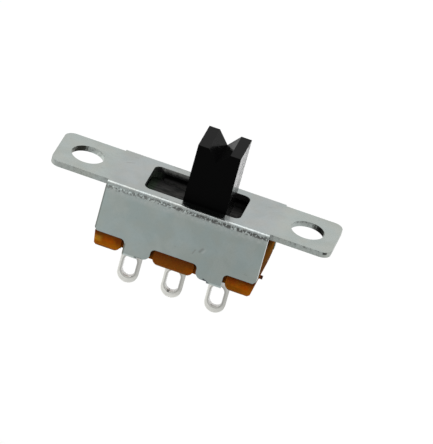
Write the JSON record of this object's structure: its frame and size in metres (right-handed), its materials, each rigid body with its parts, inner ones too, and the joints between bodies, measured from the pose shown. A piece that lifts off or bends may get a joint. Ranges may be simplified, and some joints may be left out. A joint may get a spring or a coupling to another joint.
{
  "type": "slide switch",
  "caption": "Panel-mount slide switch with a notched black knob, a folded metal frame with eared ends, an amber base and flat solder lugs with wire eyes.",
  "frame": {"origin": "midpoint between the two ear holes, on the outer face of the mounting plate", "axes": "+X along the ears and the knob's travel, +Y across the plate, +Z out of the panel along the knob"},
  "size_m": [0.019, 0.0052, 0.0121],
  "materials": {
    "plated_steel": "dull bright plating on pressed sheet",
    "base_plastic": "amber-brown moulding, slightly translucent",
    "terminal_plating": "bright silver-grey plating on brass strip",
    "black_plastic": "smooth glossy black moulding",
    "contact_bronze": "bare spring bronze strip"
  },
  "bodies": {
    "housing": {"frame": "plated_steel", "base": "base_plastic", "terminal_left": "terminal_plating", "terminal_centre": "terminal_plating", "terminal_right": "terminal_plating"},
    "slider": {"slider": "black_plastic", "contact_clip": "contact_bronze"}
  },
  "joints": [
    {"name": "slider_travel", "type": "slide", "parent": "housing", "child": "slider", "axis": [1, 0, 0], "range_m": [-0.0017, 0]}
  ]
}
